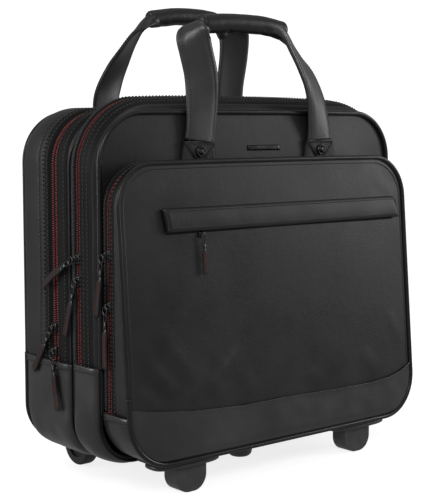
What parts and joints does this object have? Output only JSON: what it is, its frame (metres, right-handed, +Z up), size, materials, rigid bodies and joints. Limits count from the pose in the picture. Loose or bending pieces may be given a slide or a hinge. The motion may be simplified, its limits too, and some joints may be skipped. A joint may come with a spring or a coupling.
{
  "type": "rolling laptop case",
  "caption": "Upright black leather rolling laptop case with zipped compartments that lean open, a front pocket, folding carry handles, wheels and a telescopic trolley handle",
  "frame": {"origin": "on the floor, under the middle of the case; Y = 0 is the seam between the rear and front compartments", "axes": "+Z up, the front pocket faces -Y, +X to the right seen from the front, metres"},
  "size_m": [0.4347, 0.2084, 0.512],
  "materials": {
    "body_leather": "smooth black faux leather with a fine grain",
    "piping_leather": "smooth black piping, semi-gloss",
    "handle_leather": "smooth black faux leather, semi-gloss",
    "puller_leather": "black leather tab with dark red stitching",
    "rivet_metal": "dark polished metal",
    "slider_metal": "gunmetal, polished",
    "zip_coil": "dark red woven coil on black tape",
    "lining_fabric": "plain woven lining",
    "black_plastic": "matt moulded black plastic",
    "button_plastic": "matt grey plastic",
    "trolley_aluminium": "satin anodised",
    "axle_steel": "plain steel",
    "wheel_rubber": "moulded black"
  },
  "bodies": {
    "case": {"rear_panel": "body_leather", "rear_gusset": "body_leather", "rear_boot": "body_leather", "front_boot": "body_leather", "pocket_boot": "body_leather", "base_board": "black_plastic", "wheel_housing_left": "black_plastic", "wheel_housing_right": "black_plastic", "wheel_axles": "axle_steel", "front_foot_left": "black_plastic", "front_foot_right": "black_plastic", "centre_foot": "black_plastic", "trolley_bezel": "black_plastic", "trolley_guide_tubes": "trolley_aluminium", "rear_zip_tape_back": "zip_coil", "rear_handle_plates": "handle_leather", "rear_handle_rivets": "rivet_metal"},
    "mid_section": {"mid_gusset": "body_leather", "mid_rim": "body_leather", "divider_panel": "lining_fabric", "laptop_sleeve": "lining_fabric", "rear_zip_tape_front": "zip_coil", "middle_zip_tape_back": "zip_coil"},
    "front_section": {"front_gusset": "body_leather", "front_panel": "body_leather", "front_panel_piping": "piping_leather", "pocket_rim": "body_leather", "middle_zip_tape_front": "zip_coil", "front_zip_tape_back": "zip_coil", "front_handle_plates": "handle_leather", "front_handle_rivets": "rivet_metal"},
    "pocket_front": {"pocket_gusset": "body_leather", "pocket_panel": "body_leather", "pocket_piping": "piping_leather", "front_zip_tape_front": "zip_coil", "pocket_flap": "body_leather"},
    "stage_one": {"trolley_stage_one": "trolley_aluminium"},
    "stage_two": {"trolley_stage_two": "trolley_aluminium", "trolley_grip": "black_plastic"},
    "button": {"trolley_button": "button_plastic"},
    "wheel_left": {"wheel_left": "wheel_rubber"},
    "wheel_right": {"wheel_right": "wheel_rubber"},
    "front_handle": {"front_handle_straps": "handle_leather", "front_handle_grip": "handle_leather"},
    "rear_handle": {"rear_handle_straps": "handle_leather", "rear_handle_grip": "handle_leather"},
    "rear_upper_slider": {"rear_upper_slider": "slider_metal"},
    "rear_upper_puller": {"rear_upper_puller": "puller_leather"},
    "rear_lower_slider": {"rear_lower_slider": "slider_metal"},
    "rear_lower_puller": {"rear_lower_puller": "puller_leather"},
    "middle_upper_slider": {"middle_upper_slider": "slider_metal"},
    "middle_upper_puller": {"middle_upper_puller": "puller_leather"},
    "middle_lower_slider": {"middle_lower_slider": "slider_metal"},
    "middle_lower_puller": {"middle_lower_puller": "puller_leather"},
    "front_upper_slider": {"front_upper_slider": "slider_metal"},
    "front_upper_puller": {"front_upper_puller": "puller_leather"},
    "front_lower_slider": {"front_lower_slider": "slider_metal"},
    "front_lower_puller": {"front_lower_puller": "puller_leather"},
    "flap_slider": {"flap_slider": "slider_metal"},
    "flap_puller": {"flap_puller": "puller_leather"}
  },
  "joints": [
    {"name": "rear_compartment_open", "type": "hinge", "parent": "case", "child": "mid_section", "pos_m": [0, -0.075, 0.11], "axis": [1, 0, 0], "range_deg": [0, 15]},
    {"name": "front_compartment_open", "type": "hinge", "parent": "mid_section", "child": "front_section", "pos_m": [0, -0.075, 0.11], "axis": [1, 0, 0], "range_deg": [0, 15]},
    {"name": "pocket_open", "type": "hinge", "parent": "front_section", "child": "pocket_front", "pos_m": [0, -0.0966, 0.0904], "axis": [1, 0, 0], "range_deg": [0, 24]},
    {"name": "front_handle_fold", "type": "hinge", "parent": "front_section", "child": "front_handle", "pos_m": [0, -0.0537, 0.361], "axis": [1, 0, 0], "range_deg": [0, 95]},
    {"name": "rear_handle_fold", "type": "hinge", "parent": "case", "child": "rear_handle", "pos_m": [0, 0.0984, 0.361], "axis": [-1, 0, 0], "range_deg": [0, 150]},
    {"name": "trolley_stage_one_slide", "type": "slide", "parent": "case", "child": "stage_one", "axis": [0, 0, 1], "range_m": [0, 0.27]},
    {"name": "trolley_stage_two_slide", "type": "slide", "parent": "stage_one", "child": "stage_two", "axis": [0, 0, 1], "range_m": [0, 0.28]},
    {"name": "trolley_button_press", "type": "slide", "parent": "stage_two", "child": "button", "axis": [0, 0, -1], "range_m": [0, 0.0025], "stiffness_N_per_m": 400},
    {"name": "wheel_left_spin", "type": "hinge", "parent": "case", "child": "wheel_left", "pos_m": [-0.152, 0.0747, 0.024], "axis": [1, 0, 0], "continuous": true},
    {"name": "wheel_right_spin", "type": "hinge", "parent": "case", "child": "wheel_right", "pos_m": [0.152, 0.0747, 0.024], "axis": [1, 0, 0], "continuous": true},
    {"name": "rear_upper_slider_slide", "type": "slide", "parent": "case", "child": "rear_upper_slider", "axis": [0, 0, 1], "range_m": [0, 0.165]},
    {"name": "rear_upper_puller_lift", "type": "hinge", "parent": "rear_upper_slider", "child": "rear_upper_puller", "pos_m": [-0.21625, 0.0303, 0.167], "axis": [0, 0.8192, 0.5736], "range_deg": [0, 85]},
    {"name": "rear_lower_slider_slide", "type": "slide", "parent": "case", "child": "rear_lower_slider", "axis": [0, 0, 1], "range_m": [-0.005, 0.012]},
    {"name": "rear_lower_puller_lift", "type": "hinge", "parent": "rear_lower_slider", "child": "rear_lower_puller", "pos_m": [-0.21625, 0.0303, 0.142], "axis": [0, 0.9903, -0.1392], "range_deg": [0, 85]},
    {"name": "middle_upper_slider_slide", "type": "slide", "parent": "mid_section", "child": "middle_upper_slider", "axis": [0, 0, 1], "range_m": [0, 0.095]},
    {"name": "middle_upper_puller_lift", "type": "hinge", "parent": "middle_upper_slider", "child": "middle_upper_puller", "pos_m": [-0.21865, -0.0145, 0.243], "axis": [0, 0.4695, 0.8829], "range_deg": [0, 85]},
    {"name": "middle_lower_slider_slide", "type": "slide", "parent": "mid_section", "child": "middle_lower_slider", "axis": [0, 0, 1], "range_m": [-0.078, 0.01]},
    {"name": "middle_lower_puller_lift", "type": "hinge", "parent": "middle_lower_slider", "child": "middle_lower_puller", "pos_m": [-0.21625, -0.0145, 0.221], "axis": [0, 0.9563, 0.2924], "range_deg": [0, 85]},
    {"name": "front_upper_slider_slide", "type": "slide", "parent": "front_section", "child": "front_upper_slider", "axis": [0, 0, 1], "range_m": [0, 0.045]},
    {"name": "front_upper_puller_lift", "type": "hinge", "parent": "front_upper_slider", "child": "front_upper_puller", "pos_m": [-0.21265, -0.0581, 0.25], "axis": [0, 0.9563, 0.2924], "range_deg": [0, 85]},
    {"name": "front_lower_slider_slide", "type": "slide", "parent": "front_section", "child": "front_lower_slider", "axis": [0, 0, 1], "range_m": [-0.095, 0.03]},
    {"name": "front_lower_puller_lift", "type": "hinge", "parent": "front_lower_slider", "child": "front_lower_puller", "pos_m": [-0.21025, -0.0581, 0.198], "axis": [0, 0.9994, 0.0349], "range_deg": [0, 85]},
    {"name": "flap_slider_slide", "type": "slide", "parent": "pocket_front", "child": "flap_slider", "axis": [1, 0, 0], "range_m": [-0.038, 0.28]},
    {"name": "flap_puller_lift", "type": "hinge", "parent": "flap_slider", "child": "flap_puller", "pos_m": [-0.107, -0.0859, 0.26691], "axis": [-1, 0, 0], "range_deg": [0, 70]}
  ]
}
